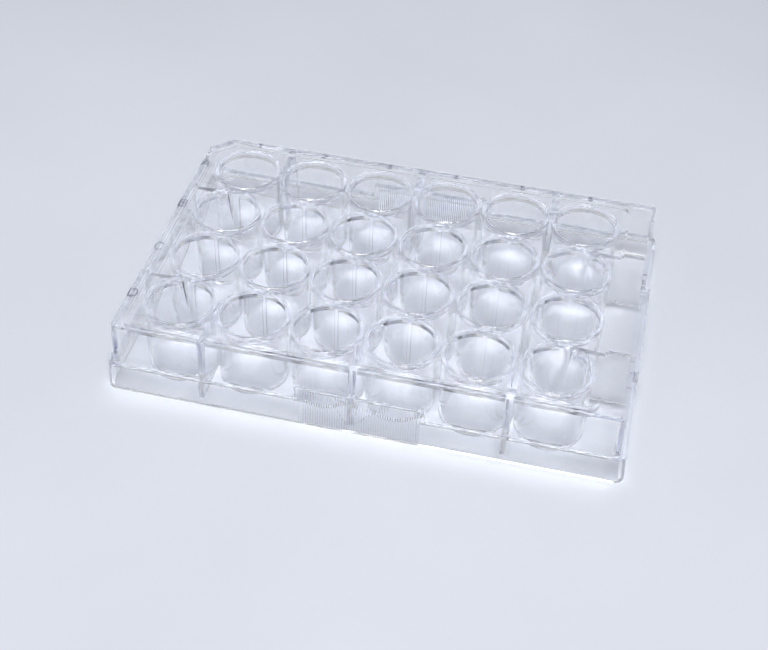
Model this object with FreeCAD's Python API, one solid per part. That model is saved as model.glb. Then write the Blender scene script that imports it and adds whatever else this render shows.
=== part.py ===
"""A 24-well culture plate, injection moulded in one piece of clear polystyrene.

Millimetres. The origin is the middle of the footprint on the bench, X runs along
the columns 1 to 6, Y runs towards row A, and Z is up. The plate is a thin open
tray turned upside down: a skirt, a ledge, an upper wall and a deck. The wells are
cups that hang from the deck, with short webs down each column and gussets that
tie them to the walls.
"""
import FreeCAD, Part

import math
import os

Vector = FreeCAD.Vector

# Footprint, the size that lets the plate sit in any holder for this format.
footprint_length = 127.76
footprint_width = 85.48
footprint_corner_radius = 2.6

# Skirt: the wide lower band that stands on the bench.
skirt_height = 7.6
skirt_wall = 1.2
skirt_draft = 0.5
ledge_width = 1.3
ledge_thickness = 1.1

# Upper wall and deck.
deck_height = 19.0
upper_wall = 1.1
upper_draft = 0.33
upper_corner_radius = 0.8
deck_thickness = 1.1
corner_cut = 5.2

# Sunken field round the wells, inside a raised border that is hollow below.
field_depth = 1.1
border_width = 2.3
label_border_width = 7.1
field_corner_radius = 2.6
field_riser_wall = 0.7

# Wells.
column_count = 6
row_count = 4
well_pitch = 18.54
well_block_offset = 0.22
well_mouth_radius = 8.15
well_draft = 0.35
well_wall = 0.8
well_floor_height = 1.5
well_floor_thickness = 0.9
rim_height = 1.3
rim_lead_in = 0.2

# Webs between wells, and gussets from the wells to the walls. A clearance is the height
# of the foot above the bench, and the gussets gain their draft on each side up to the deck.
web_thickness = 1.1
web_clearance = 3.0
gusset_thickness = 1.2
gusset_draft = 0.4
gusset_clearance = 1.8
columns_between_gussets = 2
rows_between_gussets = 2

# Grip pads: raised, finely ribbed fields in the middle of each side.
grip_length = 31.6
grip_height = 11.2
grip_draft = 0.44
grip_margin = 0.8
grip_rib_pitch = 0.6
grip_groove_width = 0.36
grip_groove_depth = 0.15

# Places that follow from the sizes above.
half_length = footprint_length / 2
half_width = footprint_width / 2
field_height = deck_height - field_depth
field_underside = field_height - deck_thickness
border_underside = deck_height - deck_thickness
rim_top = field_height + rim_height
wall_foot_inset = skirt_draft + ledge_width
deck_inset = wall_foot_inset + upper_draft
ledge_underside = skirt_height - ledge_thickness
well_floor_radius = well_mouth_radius - well_draft

# The wells are centred in Y, and sit just off the middle of the field in X.
well_block_x = (border_width - label_border_width) / 2 + well_block_offset
column_x = [well_block_x + well_pitch * (i - (column_count - 1) / 2) for i in range(column_count)]
row_y = [well_pitch * (i - (row_count - 1) / 2) for i in range(row_count)]


def plan_points(inset_sides, inset_right, cut):
    """Corners of the footprint drawn in by an inset, anticlockwise, with corner A1 cut off."""
    left = -half_length + inset_sides
    right = half_length - inset_right
    front = -half_width + inset_sides
    back = half_width - inset_sides
    points = [(left, front), (right, front), (right, back)]
    if cut > 0:
        return points + [(left + cut, back), (left, back - cut)]
    return points + [(left, back)]


def rounded_wire(points, radius, z):
    """A closed outline at one height, with every corner of the polygon rounded."""
    edges = []
    arcs = []
    count = len(points)
    for index, point in enumerate(points):
        corner = Vector(point[0], point[1], z)
        before = Vector(*points[index - 1], z) - corner
        after = Vector(*points[(index + 1) % count], z) - corner
        before.normalize()
        after.normalize()
        half_angle = before.getAngle(after) / 2
        setback = radius / math.tan(half_angle)
        middle = before + after
        middle.normalize()
        reach = radius / math.sin(half_angle) - radius
        arcs.append((corner + before * setback, corner + middle * reach, corner + after * setback))
    for index, arc in enumerate(arcs):
        edges.append(Part.Arc(*arc).toShape())
        edges.append(Part.makeLine(arc[2], arcs[(index + 1) % count][0]))
    return Part.Wire(edges)


def skirt_inset(z):
    """How far the skirt's face stands in from the footprint at a height."""
    return skirt_draft * z / skirt_height


def upper_inset(z):
    """How far the upper wall's face stands in from the footprint at a height."""
    return wall_foot_inset + upper_draft * (z - skirt_height) / (deck_height - skirt_height)


def tapered_block(lower, upper):
    """A solid with straight sides between two outlines."""
    return Part.makeLoft([lower, upper], True, True)


def inner_cut(cut, wall):
    """Length that an A1 corner cut keeps on an outline drawn in by a wall."""
    return cut - wall * (2 - math.sqrt(2))


def box_between(x0, x1, y0, y1, z0, z1):
    """An upright block between two opposite corners, in any order of the limits."""
    low = Vector(min(x0, x1), min(y0, y1), z0)
    return Part.makeBox(abs(x1 - x0), abs(y1 - y0), z1 - z0, low)


def skirt_block(inset, top):
    """A block under the skirt's outside or inside face, drawn in by an inset, up to a height."""
    radius = footprint_corner_radius - inset
    top_inset = inset + skirt_inset(top)
    lower = rounded_wire(plan_points(inset, inset, 0), radius, 0)
    upper = rounded_wire(plan_points(top_inset, top_inset, 0), radius - skirt_inset(top), top)
    return tapered_block(lower, upper)


def upper_block(inset, bottom, top):
    """A block inside the upper wall's face, drawn in by an inset, between two heights."""
    cut = inner_cut(corner_cut, inset)
    outlines = []
    for z in (bottom, top):
        points = plan_points(upper_inset(z) + inset, upper_inset(z) + inset, cut)
        outlines.append(rounded_wire(points, upper_corner_radius, z))
    return tapered_block(*outlines)


def sunken_field():
    """The shallow field that the well rims stand in, open upwards."""
    inset = deck_inset + border_width
    right_inset = deck_inset + label_border_width
    cut = inner_cut(corner_cut, border_width)
    outline = rounded_wire(plan_points(inset, right_inset, cut), field_corner_radius, field_height)
    return Part.Face(outline).extrude(Vector(0, 0, field_depth))


def border_hollow():
    """The hollow under the raised border, which keeps the border one thickness."""
    inset = deck_inset + border_width - field_riser_wall
    right_inset = deck_inset + label_border_width - field_riser_wall
    cut = inner_cut(corner_cut, border_width - field_riser_wall)
    points = plan_points(inset, right_inset, cut)
    outline = rounded_wire(points, field_corner_radius + field_riser_wall, field_underside)
    under_field = Part.Face(outline).extrude(Vector(0, 0, deck_thickness))
    return upper_block(upper_wall, field_underside, border_underside).cut(under_field)


def grip_outline(half_grip, groove_count):
    """Plan of a grip pad whose ribbed face lies on y = 0 and whose back lies inwards."""
    depth = wall_foot_inset + upper_wall / 2
    first = -grip_rib_pitch * (groove_count - 1) / 2
    points = [Vector(-half_grip, 0, 0)]
    for groove in range(groove_count):
        middle = first + groove * grip_rib_pitch
        points.append(Vector(middle - grip_groove_width / 2, 0, 0))
        points.append(Vector(middle, grip_groove_depth, 0))
        points.append(Vector(middle + grip_groove_width / 2, 0, 0))
    points.append(Vector(half_grip, 0, 0))
    points.append(Vector(half_grip, depth, 0))
    points.append(Vector(-half_grip, depth, 0))
    return Part.makePolygon(points + points[:1])


def grip_pad():
    """One grip pad, standing on the bench with its ribs along the line y = 0."""
    half_grip = grip_length / 2
    groove_count = int((grip_length - 2 * grip_margin) / grip_rib_pitch)
    face = Part.Face(grip_outline(half_grip, groove_count))
    return face.extrude(Vector(0, grip_draft, grip_height))


def grip_hollow():
    """The hollow behind one grip pad, one wall thickness in from its faces."""
    half_hollow = grip_length / 2 - skirt_wall
    depth = wall_foot_inset + upper_wall + upper_draft
    points = [Vector(-half_hollow, skirt_wall, 0), Vector(half_hollow, skirt_wall, 0)]
    points += [Vector(half_hollow, depth, 0), Vector(-half_hollow, depth, 0)]
    face = Part.Face(Part.makePolygon(points + points[:1]))
    return face.extrude(Vector(0, grip_draft, grip_height - ledge_thickness))


def on_each_side(make_shape):
    """Copies of a shape made for the line y = 0, set on the four sides of the footprint."""
    placed = []
    for angle, reach in ((0, half_width), (90, half_length), (180, half_width), (270, half_length)):
        shape = make_shape()
        shape.translate(Vector(0, -reach, 0))
        shape.rotate(Vector(0, 0, 0), Vector(0, 0, 1), angle)
        placed.append(shape)
    return placed


def turned(profile, x, y):
    """A solid of revolution from (radius, height) points, stood on the axis at x, y."""
    points = [Vector(radius, 0, height) for radius, height in profile]
    face = Part.Face(Part.makePolygon(points + points[:1]))
    solid = face.revolve(Vector(0, 0, 0), Vector(0, 0, 1), 360)
    solid.translate(Vector(x, y, 0))
    return solid


def well_cup(x, y):
    """The outside of one well, closed, from its foot to the top of its rim."""
    foot = well_floor_height - well_floor_thickness
    foot_radius = well_floor_radius + well_wall
    rim_radius = well_mouth_radius + well_wall
    return turned([(0, foot), (foot_radius, foot), (rim_radius, rim_top), (0, rim_top)], x, y)


def well_bore(x, y):
    """The inside of one well: a drafted bore with a flat floor and a lead-in at the mouth."""
    profile = [
        (0, well_floor_height),
        (well_floor_radius, well_floor_height),
        (well_mouth_radius, rim_top - rim_lead_in),
        (well_mouth_radius + rim_lead_in, rim_top),
        (0, rim_top),
    ]
    return turned(profile, x, y)


def webs():
    """Upright webs that join the wells of each column into a stiff line."""
    made = []
    half_web = web_thickness / 2
    for x in column_x:
        for y0, y1 in zip(row_y, row_y[1:]):
            made.append(box_between(x - half_web, x + half_web, y0, y1, web_clearance, field_height))
    return made


def gusset(x, y, run):
    """One gusset that starts at x, y and runs along a vector, thicker at the deck than at its foot."""
    across = Vector(-run.y, run.x, 0)
    across.normalize()
    foot = across * (gusset_thickness / 2)
    head = across * (gusset_thickness / 2 + gusset_draft)
    low = Vector(x, y, gusset_clearance)
    high = Vector(x, y, field_height)
    outline = Part.makePolygon([low - foot, low + foot, high + head, high - head, low - foot])
    return Part.Face(outline).extrude(run)


def gussets():
    """Upright gussets from the walls to the joints between the outer wells."""
    made = []
    reach_x = half_length - skirt_wall / 2
    reach_y = half_width - skirt_wall / 2
    for first in range(0, column_count - 1, columns_between_gussets):
        x = (column_x[first] + column_x[first + 1]) / 2
        for wall_y, well_y in ((-reach_y, row_y[0]), (reach_y, row_y[-1])):
            made.append(gusset(x, wall_y, Vector(0, well_y - wall_y, 0)))
    for first in range(0, row_count - 1, rows_between_gussets):
        y = (row_y[first] + row_y[first + 1]) / 2
        for wall_x, well_x in ((-reach_x, column_x[0]), (reach_x, column_x[-1])):
            made.append(gusset(wall_x, y, Vector(well_x - wall_x, 0, 0)))
    return made


def plate():
    """The whole plate as one solid."""
    walls = [skirt_block(0, skirt_height), upper_block(0, skirt_height, deck_height)]
    outside = walls[0].multiFuse(walls[1:] + on_each_side(grip_pad))
    hollows = [skirt_block(skirt_wall, ledge_underside), sunken_field(), border_hollow()]
    hollows.append(upper_block(upper_wall, ledge_underside, field_underside))
    shell = outside.cut(hollows + on_each_side(grip_hollow))
    places = [(x, y) for x in column_x for y in row_y]
    cups = [well_cup(x, y) for x, y in places]
    stays = [stay.common(outside) for stay in webs() + gussets()]
    bores = [well_bore(x, y) for x, y in places]
    return shell.multiFuse(cups + stays).cut(bores).removeSplitter()


os.makedirs("parts", exist_ok=True)
plate().exportStep("parts/plate.step")
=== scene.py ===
import bmesh
import bpy
import math
from mathutils import Matrix, Vector


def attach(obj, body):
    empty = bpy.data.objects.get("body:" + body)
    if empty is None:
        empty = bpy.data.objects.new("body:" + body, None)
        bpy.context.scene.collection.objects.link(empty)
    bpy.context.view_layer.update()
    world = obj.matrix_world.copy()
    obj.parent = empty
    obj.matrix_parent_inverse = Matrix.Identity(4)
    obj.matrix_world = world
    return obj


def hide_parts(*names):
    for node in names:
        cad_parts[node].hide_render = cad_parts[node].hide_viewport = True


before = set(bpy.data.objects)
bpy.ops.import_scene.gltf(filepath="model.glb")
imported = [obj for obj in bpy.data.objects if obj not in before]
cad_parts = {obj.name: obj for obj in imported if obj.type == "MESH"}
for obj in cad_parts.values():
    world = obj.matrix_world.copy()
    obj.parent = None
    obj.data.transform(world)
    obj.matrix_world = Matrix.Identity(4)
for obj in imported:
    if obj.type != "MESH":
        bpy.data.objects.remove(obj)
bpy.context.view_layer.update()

# A clear well plate on a pale studio floor. The plate is the frame's own mesh with its rims, webs, side
# gussets and grip grooves redrawn, and it gets its moulded letters and numbers here.

# Lengths are in millimetres, as in the CAD, and times MM in metres where Blender takes them.
MM = 0.001

# Points this close to a place of the CAD are taken to be on it, points this close to each other are
# one point, and faces that meet at more than this angle meet at an edge.
NEAR = 0.02
WELD_DISTANCE = 0.002
CUT_DISTANCE = 0.0001
EDGE_ANGLE = math.radians(28)

# The plate as the CAD has it: six columns and four rows of wells.
WELL_PITCH = 18.54
COLUMN_X = [-48.53 + WELL_PITCH * column for column in range(6)]
ROW_Y = [WELL_PITCH * (1.5 - row) for row in range(4)]
MOUTH_RADIUS = 8.15
DECK_TOP = 19.0
RIM_TOP = 19.2
RIM_MIDDLE = (DECK_TOP + RIM_TOP) / 2

# Each rim's wide top is drawn in to a ridge on a flat ring. Its inner corners lie within the
# first reach of the mouth, and its outer ones within the second.
RIDGE_FOOT = 8.45
RIDGE_INNER = 8.5
RIDGE_OUTER = 8.8
RIM_INNER_REACH = 0.5
RIM_OUTER_REACH = 1.2

# The webs down each column, half a thickness each side of the column's middle.
WEB_HALF_WIDTH = 0.55
WEB_SEEN_HALF_WIDTH = 0.43
WEB_HALF_LENGTH = 1.0

# The gussets to the left and right walls start between the wells. Their side faces keep this share
# of their distance from the gusset's middle.
SIDE_GUSSET_Y = WELL_PITCH
SIDE_GUSSET_STARTS = (-52.1, 47.8)
SIDE_GUSSET_HEIGHTS = (1.7, 17.95)
SIDE_GUSSET_OFFSETS = (0.5, 1.05)
SIDE_GUSSET_SHARE = 0.45

# The grip pads' grooves: each face leans in by this slope, and the CAD skirt's wall fills the lower part.
GRIP_FACE_SLOPE = 0.44 / 11.2
GRIP_FACE_X = 63.45
GRIP_FACE_Y = 42.3
GROOVE_FILLED_TO = 5.66
GROOVE_FOOT = 0.25

# The plate's marks: raised letters down the left border and numbers along the back one.
LETTER_X = -60.65
LETTER_SIZE = (2.1, 2.8)
NUMBER_Y = 39.5
NUMBER_SIZE = (1.15, 1.7)
STROKE_WIDTH = 0.32
STROKE_TOP_SHARE = 0.55
STROKE_HEIGHT = 0.06
STROKE_SINK = 0.01
SHARPEST_CORNER = 0.4

# The floor lies a hair below the plate, so that the two don't share a surface.
FLOOR_Z = -0.05
FLOOR_SIZE = 12000

# The softbox stands in front of the plate and above it. Its place and size are in metres, its power in watts.
LAMP_PLACE = (0.0476, -0.3387, 0.9397)
LAMP_SIZE = 0.4
LAMP_POWER = 6.7
WORLD_COLOUR = (0.86, 0.88, 0.92, 1)
WORLD_LIGHT = 0.4
WORLD_SEEN = 0.6
PLASTIC_BOUNCES = 64

# The camera stands in front and a little to the right, looking down at 43 degrees.
AZIMUTH = math.radians(-11.533)
ELEVATION = math.radians(42.684)
ROLL = math.radians(2.274)
AIM = Vector((-2.559, -3.367, 0)) * MM
DISTANCE = 356.98 * MM
LENS = 63.99


def linear(r, g, b):
    """Scene-linear colour of an 8-bit sRGB one whose parts are all above 10."""
    return tuple(((value / 255 + 0.055) / 1.055) ** 2.4 for value in (r, g, b)) + (1.0,)


def new_material(name):
    """An empty node material and its tree."""
    material = bpy.data.materials.new(name)
    material.use_nodes = True
    tree = material.node_tree
    tree.nodes.clear()
    return material, tree


def add(tree, kind, **inputs):
    """A new node whose inputs have these values."""
    node = tree.nodes.new(kind)
    for name, value in inputs.items():
        node.inputs[name.replace("_", " ")].default_value = value
    return node


def add_ramp(tree, low, high):
    """A colour ramp between two stops, each given as (position, colour)."""
    ramp = tree.nodes.new("ShaderNodeValToRGB")
    for stop, (position, colour) in zip(ramp.color_ramp.elements, (low, high)):
        stop.position = position
        stop.color = colour
    return ramp


def polystyrene():
    """Clear polystyrene: refractive, with faint haze, flow waves and a slight tint in its depth."""
    material, tree = new_material("clear_polystyrene")
    link = tree.links.new
    out = tree.nodes.new("ShaderNodeOutputMaterial")
    skin = add(tree, "ShaderNodeBsdfPrincipled", IOR=1.59, Transmission_Weight=1.0)
    place = tree.nodes.new("ShaderNodeTexCoord")
    haze = add(tree, "ShaderNodeTexNoise", Scale=60.0, Detail=1.0)
    link(place.outputs["Object"], haze.inputs["Vector"])
    tint = add_ramp(tree, (0.3, (0.992, 0.992, 0.997, 1)), (0.7, (0.998, 0.998, 1.0, 1)))
    link(haze.outputs["Fac"], tint.inputs["Fac"])
    link(tint.outputs["Color"], skin.inputs["Base Color"])
    wear = add(tree, "ShaderNodeMapRange", From_Min=0.35, From_Max=0.8, To_Min=0.0, To_Max=0.06)
    link(haze.outputs["Fac"], wear.inputs["Value"])
    link(wear.outputs["Result"], skin.inputs["Roughness"])
    flow = add(tree, "ShaderNodeTexNoise", Scale=140.0, Detail=0.0)
    link(place.outputs["Object"], flow.inputs["Vector"])
    bump = add(tree, "ShaderNodeBump", Strength=0.08, Distance=0.0002)
    link(flow.outputs["Fac"], bump.inputs["Height"])
    link(bump.outputs["Normal"], skin.inputs["Normal"])
    link(skin.outputs["BSDF"], out.inputs["Surface"])
    body = add(tree, "ShaderNodeVolumeAbsorption", Color=(0.72, 0.74, 0.93, 1), Density=9.0)
    link(body.outputs["Volume"], out.inputs["Volume"])
    return material


def narrow_rims(work):
    """Draws each rim in to the thin ridge that shows, standing on a flat ring round the mouth."""
    centres = [Vector((x, y, 0)) * MM for x in COLUMN_X for y in ROW_Y]
    everything = work.verts[:] + work.edges[:] + work.faces[:]
    middle = (0, 0, RIM_MIDDLE * MM)
    bmesh.ops.bisect_plane(work, geom=everything, dist=CUT_DISTANCE * MM, plane_co=middle, plane_no=(0, 0, 1))
    for vert in work.verts:
        if vert.co.z < (DECK_TOP + NEAR) * MM:
            continue
        flat = Vector((vert.co.x, vert.co.y, 0))
        centre = min(centres, key=lambda spot: (flat - spot).length_squared)
        reach = (flat - centre).length / MM
        on_top = vert.co.z > (RIM_MIDDLE + NEAR) * MM
        if MOUTH_RADIUS < reach < MOUTH_RADIUS + RIM_INNER_REACH:
            wanted = RIDGE_INNER if on_top else RIDGE_FOOT
            if not on_top:
                vert.co.z = DECK_TOP * MM
        elif reach < MOUTH_RADIUS + RIM_OUTER_REACH and on_top:
            wanted = RIDGE_OUTER
        else:
            continue
        vert.co += (flat - centre) * (wanted / reach - 1)


def thin_webs(work):
    """Draws the webs down each column in to the width that shows between the wells."""
    web_y = [y - WELL_PITCH / 2 for y in ROW_Y[:-1]]
    for vert in work.verts:
        for x in COLUMN_X:
            off = vert.co.x / MM - x
            if abs(abs(off) - WEB_HALF_WIDTH) > NEAR:
                continue
            if any(abs(vert.co.y / MM - y) < WEB_HALF_LENGTH for y in web_y):
                vert.co.x = (x + math.copysign(WEB_SEEN_HALF_WIDTH, off)) * MM


def thin_side_gussets(work):
    """Draws the gussets to the left and right walls in to the width that shows, away from the wells."""
    left, right = SIDE_GUSSET_STARTS
    lowest, highest = SIDE_GUSSET_HEIGHTS
    nearest, farthest = SIDE_GUSSET_OFFSETS
    for vert in work.verts:
        x, y, z = vert.co / MM
        off = abs(y) - SIDE_GUSSET_Y
        if (x < left or x > right) and nearest < abs(off) < farthest and lowest < z < highest:
            vert.co.y = math.copysign(SIDE_GUSSET_Y + off * SIDE_GUSSET_SHARE, y) * MM


def reach_grooves(work):
    """Carries the grooves of the grip pads on down to the foot."""
    outwards = (GROOVE_FILLED_TO - GROOVE_FOOT) * GRIP_FACE_SLOPE * MM
    for vert in work.verts:
        if abs(vert.co.z - GROOVE_FILLED_TO * MM) > NEAR * MM:
            continue
        if abs(vert.co.y) > GRIP_FACE_Y * MM:
            vert.co.y += math.copysign(outwards, vert.co.y)
        elif abs(vert.co.x) > GRIP_FACE_X * MM:
            vert.co.x += math.copysign(outwards, vert.co.x)
        else:
            continue
        vert.co.z = GROOVE_FOOT * MM


def refined_plate(cad):
    """The moulded plate, from the frame's mesh, welded and shaded smooth between its true edges."""
    mesh = bpy.data.meshes.new("moulded_plate")
    source = cad.data
    corners = [vert.co.copy() for vert in source.vertices]
    mesh.from_pydata(corners, [], [tuple(face.vertices) for face in source.polygons])
    work = bmesh.new()
    work.from_mesh(mesh)
    bmesh.ops.remove_doubles(work, verts=work.verts, dist=WELD_DISTANCE * MM)
    narrow_rims(work)
    thin_webs(work)
    thin_side_gussets(work)
    reach_grooves(work)
    bmesh.ops.recalc_face_normals(work, faces=work.faces)
    work.to_mesh(mesh)
    work.free()
    mesh.shade_smooth()
    mesh.set_sharp_from_angle(angle=EDGE_ANGLE)
    plate = bpy.data.objects.new("moulded_plate", mesh)
    bpy.context.scene.collection.objects.link(plate)
    return plate


plate = refined_plate(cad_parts["plate"])
plate.data.materials.append(polystyrene())
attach(plate, "root")
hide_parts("plate")


def bow(centre, radii, start, stop, steps=12):
    """Points round an ellipse from one angle to another, in degrees."""
    angles = [math.radians(start + (stop - start) * step / steps) for step in range(steps + 1)]
    return [(centre[0] + radii[0] * math.cos(a), centre[1] + radii[1] * math.sin(a)) for a in angles]


# Each mark is a few pen strokes in a box 1 wide and 1 tall.
PEN_STROKES = {
    "A": [[(0.0, 0.0), (0.42, 1.0), (0.58, 1.0), (1.0, 0.0)], [(0.16, 0.34), (0.84, 0.34)]],
    "B": [
        [(0.0, 0.52), (0.6, 0.52)] + bow((0.6, 0.26), (0.36, 0.26), 90, -90)
        + [(0.0, 0.0), (0.0, 1.0)] + bow((0.56, 0.76), (0.34, 0.24), 90, -90),
    ],
    "C": [bow((0.5, 0.5), (0.5, 0.5), 40, 320, 24)],
    "D": [[(0.0, 0.0), (0.0, 1.0)] + bow((0.45, 0.5), (0.55, 0.5), 90, -90, 18) + [(0.0, 0.0)]],
    "1": [[(0.2, 0.75), (0.55, 1.0), (0.55, 0.0)]],
    "2": [bow((0.5, 0.7), (0.45, 0.3), 170, -30) + [(0.05, 0.0), (0.98, 0.0)]],
    "3": [bow((0.47, 0.76), (0.4, 0.24), 160, -90) + bow((0.47, 0.27), (0.47, 0.27), 90, -160)],
    "4": [[(0.75, 0.0), (0.75, 1.0), (0.0, 0.3), (1.0, 0.3)]],
    "5": [[(0.9, 1.0), (0.15, 1.0), (0.08, 0.58)] + bow((0.47, 0.33), (0.48, 0.33), 130, -155)],
    "6": [bow((0.5, 0.31), (0.46, 0.31), 0, 360, 20), bow((0.95, 0.31), (0.92, 0.69), 180, 95)],
}

# A stroke's section, from corner to corner: (share of its half width, height above the deck).
STROKE_SECTION = (
    (-1, -STROKE_SINK),
    (1, -STROKE_SINK),
    (STROKE_TOP_SHARE, STROKE_HEIGHT),
    (-STROKE_TOP_SHARE, STROKE_HEIGHT),
)


def ridge(mesh, points):
    """A low ridge with sloping sides along a line of points on the deck, closed at both ends."""
    rings = []
    for index, point in enumerate(points):
        ahead = points[min(index + 1, len(points) - 1)] - point
        behind = point - points[max(index - 1, 0)]
        if ahead.length == 0:
            ahead = behind
        if behind.length == 0:
            behind = ahead
        along = ahead.normalized() + behind.normalized()
        across = Vector((-along.y, along.x, 0)).normalized()
        straight = Vector((-ahead.y, ahead.x, 0)).normalized()
        mitre = 1 / max(SHARPEST_CORNER, abs(across.dot(straight)))
        ring = []
        for side, height in STROKE_SECTION:
            place = point + across * side * STROKE_WIDTH / 2 * mitre
            ring.append(mesh.verts.new((place.x * MM, place.y * MM, (DECK_TOP + height) * MM)))
        rings.append(ring)
    sides = len(STROKE_SECTION)
    for first, second in zip(rings, rings[1:]):
        for corner in range(sides):
            other = (corner + 1) % sides
            mesh.faces.new((first[corner], second[corner], second[other], first[other]))
    mesh.faces.new(rings[0])
    mesh.faces.new(rings[-1][::-1])


def marks(name, signs, size, material):
    """One mesh of raised signs, each given as (character, x, y of its middle)."""
    work = bmesh.new()
    for sign, x, y in signs:
        left, foot = x - size[0] / 2, y - size[1] / 2
        for stroke in PEN_STROKES[sign]:
            ridge(work, [Vector((left + u * size[0], foot + v * size[1], 0)) for u, v in stroke])
    bmesh.ops.recalc_face_normals(work, faces=work.faces)
    mesh = bpy.data.meshes.new(name)
    work.to_mesh(mesh)
    work.free()
    mesh.materials.append(material)
    piece = bpy.data.objects.new(name, mesh)
    bpy.context.scene.collection.objects.link(piece)
    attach(piece, "root")


def sign_painted_shade():
    """Painted shade on the raised signs: a dark grey that stands in for the shade gathering in the clear
    moulded signs, glossy and slightly uneven.
    """
    material, tree = new_material("sign_painted_shade")
    link = tree.links.new
    out = tree.nodes.new("ShaderNodeOutputMaterial")
    skin = tree.nodes.new("ShaderNodeBsdfPrincipled")
    place = tree.nodes.new("ShaderNodeTexCoord")
    uneven = add(tree, "ShaderNodeTexNoise", Scale=900.0, Detail=2.0)
    link(place.outputs["Object"], uneven.inputs["Vector"])
    # These dark greys are painted shade. The real signs are the same clear plastic as the plate.
    shade = add_ramp(tree, (0.35, linear(62, 64, 84)), (0.65, linear(104, 108, 130)))
    link(uneven.outputs["Fac"], shade.inputs["Fac"])
    link(shade.outputs["Color"], skin.inputs["Base Color"])
    gloss = add(tree, "ShaderNodeMapRange", To_Min=0.12, To_Max=0.4)
    link(uneven.outputs["Fac"], gloss.inputs["Value"])
    link(gloss.outputs["Result"], skin.inputs["Roughness"])
    bump = add(tree, "ShaderNodeBump", Strength=0.2, Distance=0.00005)
    link(uneven.outputs["Fac"], bump.inputs["Height"])
    link(bump.outputs["Normal"], skin.inputs["Normal"])
    link(skin.outputs["BSDF"], out.inputs["Surface"])
    return material


# The letters and numbers are drawn in dark grey painted shade, not in the plate's clear plastic.
sign_shade_paint = sign_painted_shade()
letters = [(sign, LETTER_X, y) for sign, y in zip("ABCD", ROW_Y)]
marks("row_letters", letters, LETTER_SIZE, sign_shade_paint)
numbers = [(sign, x, NUMBER_Y) for sign, x in zip("123456", COLUMN_X)]
marks("column_numbers", numbers, NUMBER_SIZE, sign_shade_paint)


def paper():
    """Pale matt paper with a little unevenness in its colour."""
    material, tree = new_material("studio_paper")
    link = tree.links.new
    out = tree.nodes.new("ShaderNodeOutputMaterial")
    skin = add(tree, "ShaderNodeBsdfPrincipled", Roughness=0.85, Specular_IOR_Level=0.2)
    place = tree.nodes.new("ShaderNodeTexCoord")
    grain = add(tree, "ShaderNodeTexNoise", Scale=9.0, Detail=4.0)
    link(place.outputs["Object"], grain.inputs["Vector"])
    shade = add_ramp(tree, (0.35, linear(219, 223, 232)), (0.65, linear(224, 228, 237)))
    link(grain.outputs["Fac"], shade.inputs["Fac"])
    link(shade.outputs["Color"], skin.inputs["Base Color"])
    link(skin.outputs["BSDF"], out.inputs["Surface"])
    return material


def studio_floor():
    """The sheet of paper that the plate stands on."""
    bpy.ops.mesh.primitive_plane_add(size=FLOOR_SIZE * MM, location=(0, 0, FLOOR_Z * MM))
    sheet = bpy.context.object
    sheet.name = "studio_floor"
    sheet.data.materials.append(paper())


def key_softbox():
    """The one soft lamp, turned towards the plate."""
    data = bpy.data.lights.new("key_softbox", "AREA")
    data.size = LAMP_SIZE
    data.energy = LAMP_POWER
    lamp = bpy.data.objects.new("key_softbox", data)
    lamp.location = LAMP_PLACE
    lamp.rotation_euler = (-Vector(LAMP_PLACE)).to_track_quat("-Z", "Y").to_euler()
    bpy.context.scene.collection.objects.link(lamp)


def add_math(tree, operation, first, second):
    """The result of a maths node, whose second input is a socket or a number."""
    node = tree.nodes.new("ShaderNodeMath")
    node.operation = operation
    tree.links.new(first, node.inputs[0])
    if isinstance(second, float):
        node.inputs[1].default_value = second
    else:
        tree.links.new(second, node.inputs[1])
    return node.outputs["Value"]


def studio_world():
    """Plain pale surroundings, a little brighter where the camera sees them, also through the plastic."""
    world = bpy.data.worlds.new("studio")
    world.use_nodes = True
    tree = world.node_tree
    rays = tree.nodes.new("ShaderNodeLightPath").outputs
    seen = add_math(tree, "MAXIMUM", rays["Is Camera Ray"], rays["Is Glossy Ray"])
    seen = add_math(tree, "MAXIMUM", seen, rays["Is Transmission Ray"])
    before_floor = add_math(tree, "LESS_THAN", rays["Diffuse Depth"], 0.5)
    shown = add_math(tree, "MULTIPLY", seen, before_floor)
    strength = add(tree, "ShaderNodeMapRange", To_Min=WORLD_LIGHT, To_Max=WORLD_SEEN)
    tree.links.new(shown, strength.inputs["Value"])
    background = tree.nodes["Background"]
    background.inputs["Color"].default_value = WORLD_COLOUR
    tree.links.new(strength.outputs["Result"], background.inputs["Strength"])
    bpy.context.scene.world = world


def light_paths():
    """Enough bounces for light to leave the plastic, and no clamp on what it brings."""
    cycles = bpy.context.scene.cycles
    cycles.max_bounces = PLASTIC_BOUNCES
    cycles.transmission_bounces = PLASTIC_BOUNCES
    cycles.glossy_bounces = PLASTIC_BOUNCES
    cycles.diffuse_bounces = 3
    cycles.blur_glossy = 0.0
    cycles.sample_clamp_indirect = 0.0


studio_floor()
key_softbox()
studio_world()
light_paths()
bpy.context.scene.view_settings.view_transform = "Standard"


def camera():
    """The camera at the photograph's viewing angle."""
    look = Vector((
        math.sin(AZIMUTH) * math.cos(ELEVATION),
        math.cos(AZIMUTH) * math.cos(ELEVATION),
        -math.sin(ELEVATION),
    ))
    right = Vector((math.cos(AZIMUTH), -math.sin(AZIMUTH), 0))
    up = right.cross(look)
    side = math.cos(ROLL) * right + math.sin(ROLL) * up
    top = -math.sin(ROLL) * right + math.cos(ROLL) * up
    data = bpy.data.cameras.new("camera")
    data.sensor_fit = "HORIZONTAL"
    data.sensor_width = 36.0
    data.lens = LENS
    data.clip_start = 0.01
    eye = bpy.data.objects.new("camera", data)
    turn = Matrix((side, top, -look)).transposed()
    eye.matrix_world = Matrix.Translation(AIM - look * DISTANCE) @ turn.to_4x4()
    bpy.context.scene.collection.objects.link(eye)
    bpy.context.scene.camera = eye


camera()
